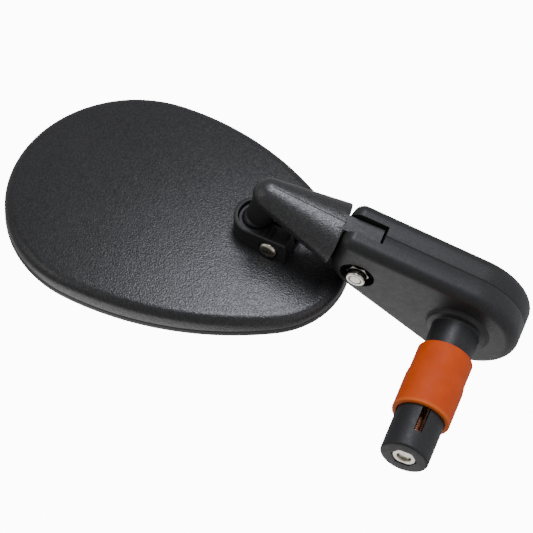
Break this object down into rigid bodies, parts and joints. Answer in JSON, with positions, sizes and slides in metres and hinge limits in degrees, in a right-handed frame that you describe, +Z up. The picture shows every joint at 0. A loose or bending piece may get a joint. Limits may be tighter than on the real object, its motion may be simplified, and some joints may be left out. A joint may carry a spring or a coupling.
{
  "type": "bike mirror",
  "caption": "Egg-shaped convex bicycle mirror on a ball joint and folding arm, with an expanding plug for the handlebar's end.",
  "frame": {"origin": "on the plug's axis, in the middle of the rubber sleeve's gripping length", "axes": "+X along the plug into the handlebar, +Z up the base arm, +Y forwards, so the mirror looks back along -Y"},
  "size_m": [0.1063, 0.0796, 0.1737],
  "materials": {
    "shell_plastic": "fine leather grain, black glass-filled nylon",
    "bezel_plastic": "smooth satin black plastic",
    "mirror_silver": "silvered convex glass",
    "pad_foam": "closed-cell foam",
    "nickel_steel": "bright nickel plating",
    "cup_nylon": "plain black nylon",
    "stud_plastic": "smooth black nylon",
    "arm_plastic": "fine leather grain, black glass-filled nylon",
    "base_plastic": "fine grain, black glass-filled nylon",
    "insert_nylon": "plain white nylon",
    "washer_acetal": "plain black acetal",
    "sleeve_rubber": "matt orange rubber",
    "plug_plastic": "smooth black nylon"
  },
  "bodies": {
    "base": {"base_arm_inner": "base_plastic", "base_arm_outer": "base_plastic", "pivot_bolt": "nickel_steel", "pivot_nut": "nickel_steel", "pivot_nut_insert": "insert_nylon", "hinge_washers": "washer_acetal", "bolt_washer": "nickel_steel", "rubber_sleeve": "sleeve_rubber"},
    "link": {"link_arm": "arm_plastic"},
    "stud": {"ball_stud": "stud_plastic"},
    "liner": {"ball_cup": "cup_nylon"},
    "head": {"mirror_shell": "shell_plastic", "front_bezel": "bezel_plastic", "mirror_glass": "mirror_silver", "foam_pad": "pad_foam", "clamp_screw": "nickel_steel", "clamp_washer": "nickel_steel", "clamp_nut": "nickel_steel"},
    "bolt": {"expander_bolt": "nickel_steel"},
    "plug": {"plug_end": "plug_plastic", "expander_nut": "nickel_steel"}
  },
  "joints": [
    {"name": "arm_fold", "type": "hinge", "parent": "base", "child": "link", "pos_m": [-0.03925, 0.002, 0.0383], "axis": [1, 0, 0], "range_deg": [0, 25]},
    {"name": "stud_turn", "type": "hinge", "parent": "link", "child": "stud", "pos_m": [-0.04075, -0.0136, 0.0743], "axis": [0, -0.9956, -0.0938], "range_deg": [-90, 90]},
    {"name": "head_tilt", "type": "hinge", "parent": "stud", "child": "liner", "pos_m": [-0.04075, -0.0136, 0.0743], "axis": [1, 0, 0], "range_deg": [-32, 0]},
    {"name": "head_pan", "type": "hinge", "parent": "liner", "child": "head", "pos_m": [-0.04075, -0.0136, 0.0743], "axis": [0, 0, 1], "range_deg": [-8, 8]},
    {"name": "bolt_turn", "type": "hinge", "parent": "base", "child": "bolt", "pos_m": [-0.03, 0, 0], "axis": [1, 0, 0], "range_deg": [0, 1445]},
    {"name": "plug_draw", "type": "slide", "parent": "base", "child": "plug", "axis": [1, 0, 0], "range_m": [-0.0032, 0]}
  ],
  "couplings": [
    {"joint": "bolt_turn", "follows": "plug_draw", "rad_per_m": -7854}
  ]
}
